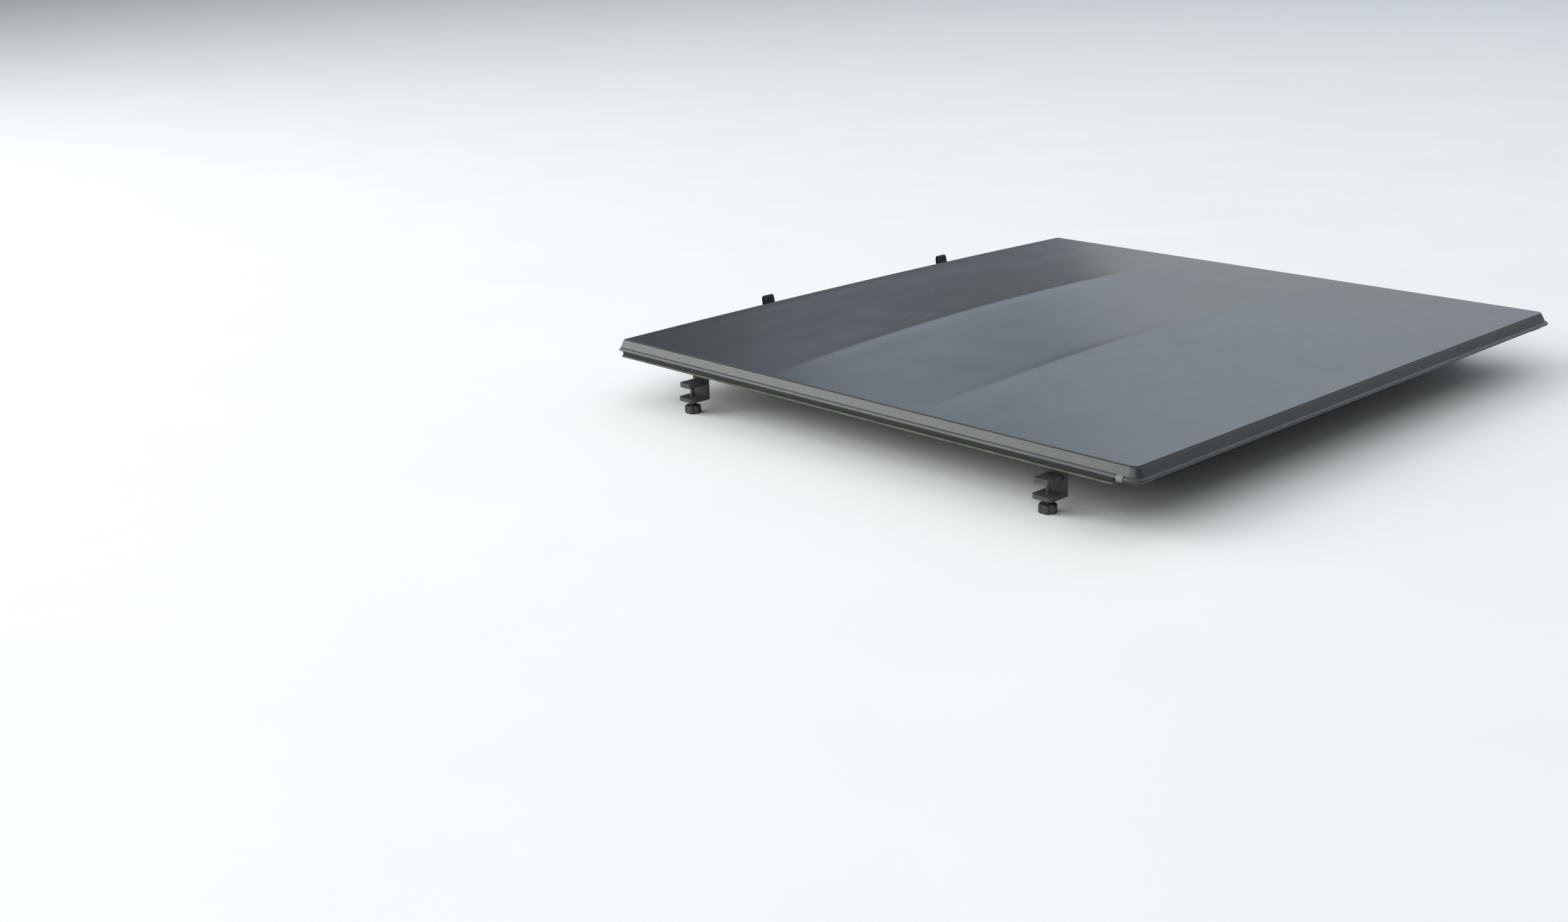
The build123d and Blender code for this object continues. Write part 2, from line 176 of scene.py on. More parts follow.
def ripple(x, y):
    """Faint slack in the stretched vinyl: long waves from cab to tailgate and a few broad dimples."""
    long_waves = LONG_SHARE * wave_sum(LONG_WAVES, x, y)
    fine_waves = FINE_SHARE * wave_sum(FINE_WAVES, x, y)
    return RIPPLE_HEIGHT * (long_waves + fine_waves + CROSS_SHARE * wave_sum(CROSS_WAVES, x, y))


def ripple_share(x, y):
    """Ripples fade at the rails, over each bow and where the sheet is clamped at its ends."""
    side = smooth_step((HALF_WIDTH - np.abs(x)) / RAIL_FADE)
    ends = smooth_step((HALF_LENGTH - np.abs(y)) / END_FADE)
    bows = 1.0
    for bow in BOWS:
        away = smooth_step((np.abs(y - bow) - BOW_HALF) / BOW_FADE)
        bows = np.minimum(bows, RIPPLE_OVER_BOW + (1 - RIPPLE_OVER_BOW) * away)
    return side * ends * bows


# ---------------------------------------------------------------- mesh helpers


def new_object(name, vertices, faces, uvs=None, normals=None):
    """A smooth-shaded mesh in the scene, with a cloth UV layer and vertex normals where they are given."""
    mesh = bpy.data.meshes.new(name)
    mesh.from_pydata([tuple(v) for v in vertices], [], [tuple(f) for f in faces])
    if uvs is not None:
        layer = mesh.uv_layers.new(name="cloth")
        loop_vertices = np.zeros(len(mesh.loops), np.int32)
        mesh.loops.foreach_get("vertex_index", loop_vertices)
        layer.data.foreach_set("uv", np.asarray(uvs, np.float32)[loop_vertices].ravel())
    mesh.polygons.foreach_set("use_smooth", [True] * len(mesh.polygons))
    if normals is not None:
        mesh.normals_split_custom_set_from_vertices([tuple(n) for n in normals])
    mesh.validate()
    mesh.update()
    obj = bpy.data.objects.new(name, mesh)
    bpy.context.scene.collection.objects.link(obj)
    return obj


def tube_faces(rows, columns):
    """Quads of a grid whose columns close into a loop."""
    faces = []
    for i in range(rows - 1):
        a, b = i * columns, (i + 1) * columns
        for j in range(columns):
            k = (j + 1) % columns
            faces.append((a + j, a + k, b + k, b + j))
    return faces


def capped_tube(rows, columns):
    """The quads of a tube, then one face over its first loop and one over its last."""
    first_loop = range(columns)
    last_loop = range((rows - 1) * columns, rows * columns)
    return tube_faces(rows, columns) + [tuple(reversed(first_loop)), tuple(last_loop)]


def face_outwards(obj):
    """Turn every face of a closed mesh to point out of it."""
    mesh = bmesh.new()
    mesh.from_mesh(obj.data)
    bmesh.ops.recalc_face_normals(mesh, faces=mesh.faces)
    mesh.to_mesh(obj.data)
    mesh.free()


def vertex_normals(points, faces):
    """Area-weighted vertex normals of a quad mesh."""
    p = points[np.array(faces)]
    face_normals = np.cross(p[:, 2] - p[:, 0], p[:, 3] - p[:, 1])
    out = np.zeros_like(points)
    for corner in range(4):
        np.add.at(out, np.array(faces)[:, corner], face_normals)
    return out / np.maximum(np.linalg.norm(out, axis=1, keepdims=True), 1e-12)


def finish_piece(obj, material, body, *replaced, slot):
    """Give a piece its material and the body it rides on, and hide the nodes it stands for; the slot
    argument is not used.
    """
    obj.data.materials.append(material)
    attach(obj, body)
    if replaced:
        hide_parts(*replaced)


# ---------------------------------------------------------------- materials


def node_material(name, colour, roughness, **sockets):
    """A material, its node tree and its shader, with any other sockets set."""
    material = bpy.data.materials.new(name)
    material.use_nodes = True
    tree = material.node_tree
    shader = tree.nodes["Principled BSDF"]
    shader.inputs["Base Color"].default_value = (*colour, 1)
    shader.inputs["Roughness"].default_value = roughness
    for key, value in sockets.items():
        shader.inputs[key.replace("_", " ")].default_value = value
    return material, tree, shader


def add(tree, kind, links=None, **settings):
    """Add a node, set its properties or inputs, and link its inputs."""
    node = tree.nodes.new(kind)
    for key, value in settings.items():
        if hasattr(node, key):
            setattr(node, key, value)
        else:
            node.inputs[key.replace("_", " ")].default_value = value
    for key, source in (links or {}).items():
        tree.links.new(source, node.inputs[key])
    return node


def ramp(tree, source, stops):
    """A colour ramp through (position, grey or colour) stops."""
    node = add(tree, "ShaderNodeValToRGB", {"Fac": source})
    elements = node.color_ramp.elements
    while len(elements) < len(stops):
        elements.new(0.5)
    for element, (position, value) in zip(elements, stops):
        element.position = position
        element.color = (*value, 1) if hasattr(value, "__len__") else (value, value, value, 1)
    return node.outputs["Color"]


def scale_uv(tree, source, scale):
    """Texture coordinates stretched by a factor on each axis."""
    node = add(tree, "ShaderNodeMapping", {"Vector": source})
    node.inputs["Scale"].default_value = scale
    return node.outputs["Vector"]


def mix_colour(tree, factor, a, b, blend="MIX"):
    """Two colours mixed, where the factor and the colours are each a value or an output."""
    node = add(tree, "ShaderNodeMix", data_type="RGBA", blend_type=blend)
    for socket, value in ((node.inputs[0], factor), (node.inputs[6], a), (node.inputs[7], b)):
        if hasattr(value, "links"):
            tree.links.new(value, socket)
        elif hasattr(value, "__len__"):
            socket.default_value = (*value, 1)
        else:
            socket.default_value = value
    return node.outputs[2]


def shade(colour, factor):
    """A colour made lighter or darker."""
    return tuple(c * factor for c in colour)


def vinyl(name, colour, roughness, coordinates, grain=1.0):
    """Grained vinyl cloth: pebbled leather grain with creases between, painted shade in the creases, and
    slight dust and wear.
    """
    material, tree, shader = node_material(
        name, colour, roughness, Specular_IOR_Level=0.5, Sheen_Weight=0.05, Sheen_Roughness=0.5
    )
    place = add(tree, "ShaderNodeTexCoord").outputs[coordinates]
    pebbles = add(
        tree, "ShaderNodeTexVoronoi", {"Vector": place}, feature="F1", Scale=620.0, Randomness=0.9
    )
    creases = add(
        tree,
        "ShaderNodeTexVoronoi",
        {"Vector": place},
        feature="DISTANCE_TO_EDGE",
        Scale=430.0,
        Randomness=1.0,
    )
    fine = add(tree, "ShaderNodeTexNoise", {"Vector": place}, Scale=1500.0, Detail=3.0)
    cloud = add(tree, "ShaderNodeTexNoise", {"Vector": place}, Scale=5.5, Detail=4.0)
    blotch = add(tree, "ShaderNodeTexNoise", {"Vector": place}, Scale=38.0, Detail=5.0)
    pebble_height = ramp(tree, pebbles.outputs["Distance"], [(0.0, 1.0), (0.75, 0.25), (1.0, 0.1)])
    crease_height = ramp(tree, creases.outputs["Distance"], [(0.0, 0.0), (0.12, 0.8), (0.3, 1.0)])
    height = mix_colour(tree, 0.5, pebble_height, crease_height, "MULTIPLY")
    height = mix_colour(tree, 0.25, height, fine.outputs["Fac"], "OVERLAY")
    bump = add(
        tree, "ShaderNodeBump", {"Height": height}, Strength=0.42 * grain, Distance=0.00016
    )
    tree.links.new(bump.outputs["Normal"], shader.inputs["Normal"])
    dusty = ramp(tree, cloud.outputs["Fac"], [(0.30, shade(colour, 0.93)), (0.70, shade(colour, 1.07))])
    specks = ramp(tree, blotch.outputs["Fac"], [(0.35, 0.97), (0.65, 1.03)])
    # Painted shade: the colour is darkened where the grain creases.
    painted_crease_shade = ramp(tree, creases.outputs["Distance"], [(0.0, 0.86), (0.1, 1.0)])
    tinted = mix_colour(tree, 1.0, dusty, specks, "MULTIPLY")
    tinted = mix_colour(tree, 1.0, tinted, painted_crease_shade, "MULTIPLY")
    tree.links.new(tinted, shader.inputs["Base Color"])
    rough = ramp(
        tree, blotch.outputs["Fac"], [(0.3, roughness - 0.012), (0.7, roughness + 0.016)]
    )
    tree.links.new(rough, shader.inputs["Roughness"])
    return material


def moulded(name, colour, roughness, texture=900.0, depth=0.00006, **sockets):
    """Moulded or cast surface with a fine spark-etched texture and paler rubbed patches."""
    material, tree, shader = node_material(name, colour, roughness, **sockets)
    place = add(tree, "ShaderNodeTexCoord").outputs["Object"]
    etch = add(tree, "ShaderNodeTexNoise", {"Vector": place}, Scale=texture, Detail=4.0)
    patch = add(tree, "ShaderNodeTexNoise", {"Vector": place}, Scale=24.0, Detail=5.0)
    bump = add(
        tree, "ShaderNodeBump", {"Height": etch.outputs["Fac"]}, Strength=0.5, Distance=depth
    )
    tree.links.new(bump.outputs["Normal"], shader.inputs["Normal"])
    tint = ramp(
        tree, patch.outputs["Fac"], [(0.35, shade(colour, 0.88)), (0.7, shade(colour, 1.25))]
    )
    tree.links.new(tint, shader.inputs["Base Color"])
    rough = ramp(
        tree, patch.outputs["Fac"], [(0.3, roughness + 0.05), (0.7, roughness - 0.06)]
    )
    tree.links.new(rough, shader.inputs["Roughness"])
    return material


ALONG_X = (6.0, 900.0, 900.0)
ALONG_Y = (900.0, 6.0, 900.0)


def extruded(name, colour, roughness, metallic, lines):
    """Extruded aluminium: fine die lines along its length under a satin finish."""
    material, tree, shader = node_material(name, colour, roughness, Metallic=metallic)
    place = add(tree, "ShaderNodeTexCoord").outputs["Object"]
    die = add(
        tree, "ShaderNodeTexNoise", {"Vector": scale_uv(tree, place, lines)}, Scale=1.0, Detail=3.0
    )
    scuff = add(tree, "ShaderNodeTexNoise", {"Vector": place}, Scale=60.0, Detail=6.0)
    bump = add(
        tree, "ShaderNodeBump", {"Height": die.outputs["Fac"]}, Strength=0.25, Distance=0.00005
    )
    tree.links.new(bump.outputs["Normal"], shader.inputs["Normal"])
    rough = ramp(
        tree, scuff.outputs["Fac"], [(0.3, roughness - 0.05), (0.75, roughness + 0.12)]
    )
    tree.links.new(rough, shader.inputs["Roughness"])
    tint = ramp(tree, die.outputs["Fac"], [(0.3, shade(colour, 0.85)), (0.7, shade(colour, 1.12))])
    tree.links.new(tint, shader.inputs["Base Color"])
    return material


def rubber(name, colour, roughness):
    """Extruded rubber: fine lines along its length, chalky dust in its colour."""
    material, tree, shader = node_material(name, colour, roughness, Specular_IOR_Level=0.35)
    place = add(tree, "ShaderNodeTexCoord").outputs["Object"]
    skin = add(tree, "ShaderNodeTexNoise", {"Vector": place}, Scale=700.0, Detail=3.0)
    dust = add(tree, "ShaderNodeTexNoise", {"Vector": place}, Scale=30.0, Detail=5.0)
    bump = add(
        tree, "ShaderNodeBump", {"Height": skin.outputs["Fac"]}, Strength=0.35, Distance=0.00008
    )
    tree.links.new(bump.outputs["Normal"], shader.inputs["Normal"])
    tint = ramp(tree, dust.outputs["Fac"], [(0.35, shade(colour, 0.8)), (0.7, shade(colour, 1.35))])
    tree.links.new(tint, shader.inputs["Base Color"])
    return material


def woven(name, colour, coordinates, pitch, roughness=0.8):
    """Webbing: a plain weave of flat yarns, with painted shade in the gaps and painted light on the yarn
    crowns, and a slight sheen.
    """
    material, tree, shader = node_material(
        name, colour, roughness, Sheen_Weight=0.25, Sheen_Roughness=0.4, Specular_IOR_Level=0.3
    )
    place = add(tree, "ShaderNodeTexCoord").outputs[coordinates]
    warp = add(
        tree,
        "ShaderNodeTexWave",
        {"Vector": scale_uv(tree, place, (1.0, 0.35, 1.0))},
        Scale=1.0 / pitch / 6.0,
        Distortion=0.6,
        wave_type="BANDS",
        bands_direction="X",
    )
    weft = add(
        tree,
        "ShaderNodeTexWave",
        {"Vector": place},
        Scale=1.0 / pitch / 6.0,
        Distortion=0.4,
        wave_type="BANDS",
        bands_direction="Y",
    )
    height = mix_colour(tree, 0.5, warp.outputs["Fac"], weft.outputs["Fac"])
    bump = add(tree, "ShaderNodeBump", {"Height": height}, Strength=0.8, Distance=0.0003)
    tree.links.new(bump.outputs["Normal"], shader.inputs["Normal"])
    # Painted shade and light: the colour follows the weave's height, dark in the gaps and pale on the
    # yarns.
    tint = ramp(tree, height, [(0.2, shade(colour, 0.5)), (0.8, shade(colour, 1.5))])
    tree.links.new(tint, shader.inputs["Base Color"])
    return material


SHEET_VINYL = vinyl("sheet_vinyl", (0.020, 0.024, 0.029), 0.29, "UV", grain=0.65)
TRIM_VINYL = vinyl("trim_vinyl", (0.030, 0.034, 0.036), 0.36, "UV", grain=0.8)
# Painted light: the welt tab is the trim's vinyl, given a much paler colour to stand in for the light it
# catches.
PAINTED_LIGHT_TAB_VINYL = vinyl("welt_tab_painted_light_vinyl", (0.150, 0.155, 0.155), 0.45, "Object", grain=0.6)
PLAIN_VINYL = vinyl("flap_vinyl", (0.030, 0.034, 0.039), 0.38, "Object")
BLACK_RAIL = extruded("black_anodised", (0.030, 0.031, 0.030), 0.42, 0.55, ALONG_Y)
BLACK_BAR = extruded("black_anodised_bar", (0.028, 0.030, 0.033), 0.42, 0.55, ALONG_X)
MILL = extruded("mill_aluminium", (0.58, 0.59, 0.60), 0.36, 1.0, ALONG_X)
CAST = moulded("powder_coat", (0.040, 0.042, 0.045), 0.48, 650.0, 0.00016)
PLASTIC = moulded("moulded_plastic", (0.034, 0.035, 0.037), 0.46)
RUBBER = rubber("seal_rubber", (0.085, 0.088, 0.074), 0.72)
TAPE = moulded("hook_tape", (0.022, 0.022, 0.023), 0.92, 1400.0, 0.0006)
ZINC = moulded("zinc_plate", (0.62, 0.61, 0.56), 0.34, 500.0, 0.00003, Metallic=1.0)
WEBBING = woven("webbing", (0.024, 0.025, 0.028), "UV", 1.6 * MM)

CAD_FINISH = [
    ("front_flap", PLAIN_VINYL),
    ("hook_tape", TAPE),
    ("rail_seal", RUBBER),
    ("bulkhead_seal", RUBBER),
    ("tail_seal", RUBBER),
    ("side_rail", BLACK_RAIL),
    ("header_bar", BLACK_BAR),
    ("rear_bar", BLACK_BAR),
    ("header_corner", CAST),
    ("clamp_bracket", CAST),
    ("clamp_jaw", CAST),
    ("corner_screws", ZINC),
    ("bow_front_caps", PLASTIC),
    ("bow_rear_caps", PLASTIC),
    ("bow_seats", PLASTIC),
    ("bow_", MILL),
    ("", PLASTIC),
]
for name, obj in nodes.items():
    material = next(m for start, m in CAD_FINISH if name.startswith(start))
    obj.data.materials.clear()
    obj.data.materials.append(material)

# ---------------------------------------------------------------- sheet


SEAM_CLEARANCE = 2 * MM


def strip_seams():
    """The line in each strip where one cloth piece ends and the next begins, clear of the bows."""
    seams = []
    for high, low in zip(FOLDS, FOLDS[1:]):
        seam = (high + low) / 2
        for bow in BOWS:
            if low < bow < high:
                room_above = high - (bow + BOW_HALF)
                room_below = (bow - BOW_HALF) - low
                if room_above > room_below:
                    seam = bow + BOW_HALF + SEAM_CLEARANCE
                else:
                    seam = bow - BOW_HALF - SEAM_CLEARANCE
        seams.append(seam)
    return seams


SEAMS = strip_seams()


RIDGE_ZONE = 50 * MM
CLOSE_ROWS = 3 * MM
OPEN_ROWS = 4.6 * MM
TAIL_ROWS = [2.6 * MM, 1.4 * MM, 0.9 * MM, 0.6 * MM, 0.35 * MM, 0.15 * MM, 0.04 * MM]
TAIL_ROWS_START = 3.4 * MM


def stations():
    """Places along the sheet for its rows, from the cab to the tailgate, closest near the ridges."""
    stops = {HALF_LENGTH, -HALF_LENGTH, *SEAMS, *FOLDS}
    marks = sorted(stops, reverse=True)
    rows = []
    for high, low in zip(marks, marks[1:]):
        gap = high - low
        near_ridge = min(abs((high + low) / 2 - b) for b in BOWS) < RIDGE_ZONE
        step = CLOSE_ROWS if near_ridge else OPEN_ROWS
        count = max(2, round(gap / step))
        rows += [high - gap * i / count for i in range(count)]
    rows = [y for y in rows if y > -HALF_LENGTH + TAIL_ROWS_START]
    return rows + [-HALF_LENGTH + t for t in TAIL_ROWS]


EDGE_RADIUS = 1.3 * MM
EDGE_TURNS = np.radians([25, 50, 75])
EDGE_FLATTENING = 0.75
TAIL_DROP = 0.7
TAIL_THINNING = 0.8
LIP_INSET = 0.1 * MM
UNDER_INSET = 2 * MM
CAB_TURN_DOWN = 0.9 * MM
CAB_TURN_LENGTH = 3 * MM
TOP_COLUMNS = 220
UNDER_COLUMNS = 36
UNDERSIDE_OFFSET = 3.0


def outline_half_width(y):
    """Half the sheet's width at y: full, then round the rear corners."""
    past = np.maximum(0.0, -HALF_LENGTH + CORNER - y)
    return HALF_WIDTH - CORNER + np.sqrt(np.maximum(CORNER**2 - past**2, 0.0))


def top_height(x, y):
    """Height of the sheet's upper face, before its edges turn down."""
    arch = 1 - (x / HALF_WIDTH) ** 2
    return SIDE_TOP + (crown(y) - bay_sag(y)) * arch + ripple(x, y) * ripple_share(x, y)


def sheet_points(ys):
    """For each y, one closed loop across the sheet and back underneath it, with its cloth coordinates."""
    y = ys[:, None]
    half = outline_half_width(y)
    close = np.clip((y + HALF_LENGTH) / EDGE_RADIUS, 0, 1)
    shrink = 1 - np.sqrt(1 - (1 - close) ** 2)
    turn_down = CAB_TURN_DOWN * smooth_step((y - HALF_LENGTH + CAB_TURN_LENGTH) / CAB_TURN_LENGTH)
    edge_top = SIDE_TOP - shrink * EDGE_RADIUS * TAIL_DROP - turn_down
    thick = THICKNESS * (1 - TAIL_THINNING * shrink)
    spread = np.sin(np.linspace(-1, 1, TOP_COLUMNS) * math.pi / 2 * 0.96)
    top_x = spread / spread[-1] * (half - EDGE_RADIUS)
    edge_x = half - EDGE_RADIUS + EDGE_RADIUS * np.sin(EDGE_TURNS)
    edge_z = edge_top - EDGE_RADIUS * EDGE_FLATTENING * (1 - np.cos(EDGE_TURNS))
    lip_x = half - LIP_INSET
    under_x = (half - UNDER_INSET) * np.linspace(1, -1, UNDER_COLUMNS)
    top_z = top_height(top_x, y) - SIDE_TOP + edge_top
    under_z = top_height(under_x, y) - SIDE_TOP + edge_top - thick
    x = np.hstack([top_x, edge_x, lip_x, under_x, -lip_x, -edge_x[:, ::-1]])
    z = np.hstack([top_z, edge_z, edge_top - thick, under_z, edge_top - thick, edge_z[:, ::-1]])
    points = np.stack([x, np.broadcast_to(y, x.shape), z], axis=-1)
    uvs = points[:, :, :2].copy()
    underside = TOP_COLUMNS + len(EDGE_TURNS) + 1
    uvs[:, underside : underside + UNDER_COLUMNS, 1] += UNDERSIDE_OFFSET
    return points.reshape(-1, 3), uvs.reshape(-1, 2), x.shape[1]


def build_sheet():
    """The whole cloth as one surface, cut into one piece for each fold."""
    ys = stations()
    points, uvs, columns = sheet_points(np.array(ys))
    faces = tube_faces(len(ys), columns)
    normals = vertex_normals(points, faces)
    cuts = [0]
    for seam in SEAMS:
        cuts.append(min(range(len(ys)), key=lambda i: abs(ys[i] - seam)))
    cuts.append(len(ys) - 1)
    pieces = []
    for number, (first, last) in enumerate(zip(cuts, cuts[1:]), start=1):
        part = slice(first * columns, (last + 1) * columns)
        part_faces = capped_tube(last - first + 1, columns)
        obj = new_object(
            f"cover_sheet_{number:02d}", points[part], part_faces, uvs[part], normals[part]
        )
        obj.data.materials.append(SHEET_VINYL)
        pieces.append((obj, ys[last]))
    return pieces


sheet_pieces = build_sheet()
strip_nodes = ["front_sheet"] + [f"sheet_{i:02d}" for i in range(1, len(FOLDS))] + ["rear_sheet"]
BEND_SHARE = 0.92
for index, (obj, low) in enumerate(sheet_pieces):
    fold = FOLDS[index]
    reach = BEND_SHARE * (fold - low)
    for bow in BOWS:
        gap = fold - bow - BOW_HALF
        if gap > 0:
            reach = min(reach, gap)
    replaced = strip_nodes[index : index + 1]
    if index == len(sheet_pieces) - 1:
        replaced = strip_nodes[index:]
    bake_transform(obj)
    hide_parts(*replaced)

# ---------------------------------------------------------------- edge trim

TRIM_LOW_CORNER, TRIM_HIGH_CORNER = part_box("edge_trim_right")
TOP_MM = TRIM_HIGH_CORNER.z / MM
WELT_REACH = TRIM_HIGH_CORNER.x - HALF_WIDTH + 2.2 * MM
SPLIT = TRIM_LOW_CORNER.y
SPLIT_GAP = 0.2 * MM
PATH_STEP = 7 * MM
TURN_STEPS = 16
ROUNDING_ERROR = 1e-6

# The wrapped trim's outline in millimetres, as distance out from the sheet's edge and height. It goes over
# the sheet's edge, down the bevel, round the welt, and back under and up inside.
SIDE_OUTLINE = [
    (-2.4, TOP_MM - 0.15),
    (-0.2, TOP_MM - 0.05),
    (1.0, TOP_MM - 0.75),
    (2.3, 34.8),
    (4.1, 31.6),
    (6.0, 28.3),
    (7.8, 25.3),
    (9.1, 23.2),
    (9.8, 22.3),
    (10.9, 21.7),
    (12.3, 20.6),
    (13.6, 19.2),
    (14.4, 17.8),
    (14.6, 16.7),
    (14.1, 15.7),
    (12.9, 15.1),
    (11.0, 15.0),
    (8.2, 15.1),
    (5.6, 15.2),
    (5.4, 17.0),
    (5.4, 23.0),
    (3.2, 29.0),
    (0.2, 33.6),
    (-2.4, 36.2),
]

# The same across the tailgate, where the bevel is deeper and the welt thicker.
REAR_OUTLINE = [
    (-2.4, TOP_MM - 0.15),
    (-0.2, TOP_MM - 0.05),
    (1.1, TOP_MM - 0.9),
    (2.6, 34.2),
    (4.6, 30.1),
    (6.5, 26.2),
    (8.2, 22.7),
    (9.3, 20.5),
    (10.0, 19.3),
    (11.2, 18.9),
    (13.0, 18.8),
    (14.7, 18.1),
    (15.9, 16.9),
    (16.3, 15.5),
    (15.9, 14.2),
    (14.7, 13.2),
    (12.8, 12.8),
    (9.2, 12.9),
    (5.6, 13.2),
    (5.4, 15.0),
    (5.4, 21.0),
    (3.2, 28.0),
    (0.2, 33.2),
    (-2.4, 36.2),
]


CHANGE_START = SPLIT - 4 * MM
CHANGE_LENGTH = 20 * MM
CHANGE_BEFORE_CORNER = 0.3


def rear_share(y, out_y):
    """How far the trim's outline has changed from the one at the sides to the one across the tailgate."""
    before_corner = CHANGE_BEFORE_CORNER * float(smooth_step((CHANGE_START - y) / CHANGE_LENGTH))
    return max(-out_y, before_corner)


def rounded(points):
    """A closed outline with each corner cut at a quarter of its sides."""
    out = []
    for (x0, z0), (x1, z1) in zip(points, points[1:] + points[:1]):
        out.append((0.75 * x0 + 0.25 * x1, 0.75 * z0 + 0.25 * z1))
        out.append((0.25 * x0 + 0.75 * x1, 0.25 * z0 + 0.75 * z1))
    return out


SIDE_PROFILE = rounded(SIDE_OUTLINE)
REAR_PROFILE = rounded(REAR_OUTLINE)


def trim_path(step):
    """Points and outward directions along the trim, from the cab's left corner round to its right one."""
    centre = (HALF_WIDTH - CORNER, -HALF_LENGTH + CORNER)
    path = []

    def run(start, end, outward):
        span = Vector(end) - Vector(start)
        count = max(1, round(span.length / step))
        for i in range(count):
            at = Vector(start) + span * i / count
            path.append((at.x, at.y, *outward))

    def turn(cx, cy, first, last):
        for i in range(TURN_STEPS + 1):
            a = math.radians(first + (last - first) * i / TURN_STEPS)
            out_x, out_y = math.cos(a), math.sin(a)
            path.append((cx + CORNER * out_x, cy + CORNER * out_y, out_x, out_y))

    run((-HALF_WIDTH, HALF_LENGTH), (-HALF_WIDTH, centre[1]), (-1, 0))
    turn(-centre[0], centre[1], 180, 270)
    run((-centre[0] + step, -HALF_LENGTH), (centre[0], -HALF_LENGTH), (0, -1))
    turn(centre[0], centre[1], 270, 360)
    run((HALF_WIDTH, centre[1] + step), (HALF_WIDTH, HALF_LENGTH + step), (1, 0))
    return [p for p in path if p[1] <= HALF_LENGTH + ROUNDING_ERROR]


def soft_noise(x, y, z):
    """Smooth noise between about -1 and 1."""
    return noise(Vector((x, y, z)))


def bump_at(value, centre, width):
    """A smooth bump of height 1 at a centre."""
    return math.exp(-(((value - centre) / width) ** 2))


SLACK_DEPTH = 0.22 * MM
FINE_SLACK_DEPTH = 0.05 * MM

# Heights on the bevel in millimetres, and how far its creases ease in at head and foot.
BEVEL_FOOT = 24.5
BEVEL_MIDDLE = 31
BEVEL_HEAD = 37.2
BEVEL_EASE = 3
LEFT_CREASE_LEAN = 0.55
RIGHT_CREASE_LEAN = 1.3

# Creases at the tailgate corners in millimetres: the place from the corner, the width and the depth.
LEFT_CREASES = [(21, 3.2, 1.5), (14.5, 3.5, -0.9), (28, 4.5, -0.5)]
RIGHT_CREASES = [(58, 4, 0.8), (70, 5, 0.9), (86, 6, 0.55), (31, 4, 0.5)]
FOLD_BESIDE_CREASE = 1.7
FOLD_HEIGHT = 0.6


def trim_wobble(x, y, out_x, out_y, z):
    """Small shape changes of the wrapped cloth: creases near the tailgate corners and slack all along."""
    on_side = abs(out_x) > 0.7
    along = y if on_side else x
    push = SLACK_DEPTH * soft_noise(along * 7, 3.1 if on_side else 7.7, z * 60)
    push += FINE_SLACK_DEPTH * soft_noise(along * 18, 1.2, z * 90)
    if out_y >= -0.5:
        return push
    height = z / MM
    bevel = smooth_step((height - BEVEL_FOOT) / BEVEL_EASE)
    bevel *= smooth_step((BEVEL_HEAD - height) / BEVEL_EASE)
    from_corner = (HALF_WIDTH - abs(x)) / MM
    if x < 0:
        slant = from_corner + (height - BEVEL_MIDDLE) * LEFT_CREASE_LEAN
        for place, width, depth in LEFT_CREASES:
            push -= depth * MM * bevel * bump_at(slant, place, width)
    else:
        slant = from_corner - (height - BEVEL_MIDDLE) * RIGHT_CREASE_LEAN
        for place, width, depth in RIGHT_CREASES:
            push -= depth * MM * bevel * bump_at(slant, place, width)
            beside = place + FOLD_BESIDE_CREASE * width
            push += FOLD_HEIGHT * depth * MM * bevel * bump_at(slant, beside, width)
    return push


# The cloth moves only past the sheet's edge and above the underside of the welt.
FREE_FROM = 0.4 * MM
FREE_ABOVE = 17 * MM


def trim_part(name, path):
    """A swept piece of trim with closed ends."""
    columns = len(SIDE_PROFILE)
    points, uvs = [], []
    travelled = 0.0
    previous = None
    around = [0.0]
    for (o0, z0), (o1, z1) in zip(SIDE_PROFILE, SIDE_PROFILE[1:]):
        around.append(around[-1] + math.hypot(o1 - o0, z1 - z0) * MM)
    for x, y, out_x, out_y in path:
        if previous:
            travelled += math.hypot(x - previous[0], y - previous[1])
        previous = (x, y)
        share = rear_share(y, out_y)
        for (o0, z0), (o1, z1), s in zip(SIDE_PROFILE, REAR_PROFILE, around):
            o = (o0 + (o1 - o0) * share) * MM
            z = (z0 + (z1 - z0) * share) * MM
            free = o > FREE_FROM and z > FREE_ABOVE
            push = trim_wobble(x, y, out_x, out_y, z) if free else 0.0
            reach = min(o + push, WELT_REACH)
            points.append((x + out_x * reach, y + out_y * reach, z))
            uvs.append((travelled, s))
    faces = [tuple(reversed(f)) for f in capped_tube(len(path), columns)]
    obj = new_object(name, points, faces, uvs)
    sharpen_ends(obj)
    return obj


def sharpen_ends(obj):
    """Crisp cut ends: the end caps keep flat shading and sharp borders."""
    mesh = obj.data
    places = {key: index for index, key in enumerate(mesh.edge_keys)}
    for polygon in mesh.polygons:
        if len(polygon.vertices) > 4:
            polygon.use_smooth = False
            for key in polygon.edge_keys:
                mesh.edges[places[key]].use_edge_sharp = True


def split_path():
    """The trim's path in three parts: the left side, across the tailgate and the right side."""
    full = trim_path(PATH_STEP)
    left = [p for p in full if p[0] < 0 and p[2] < -0.99 and p[1] >= SPLIT]
    right = [p for p in full if p[0] > 0 and p[2] > 0.99 and p[1] >= SPLIT]
    rear = [p for p in full if p not in left and p not in right]
    left.append((-HALF_WIDTH, SPLIT, -1, 0))
    right.insert(0, (HALF_WIDTH, SPLIT, 1, 0))
    rear = [p for p in rear if p[1] <= SPLIT - SPLIT_GAP]
    rear.insert(0, (-HALF_WIDTH, SPLIT - SPLIT_GAP, -1, 0))
    rear.append((HALF_WIDTH, SPLIT - SPLIT_GAP, 1, 0))
    return left, rear, right


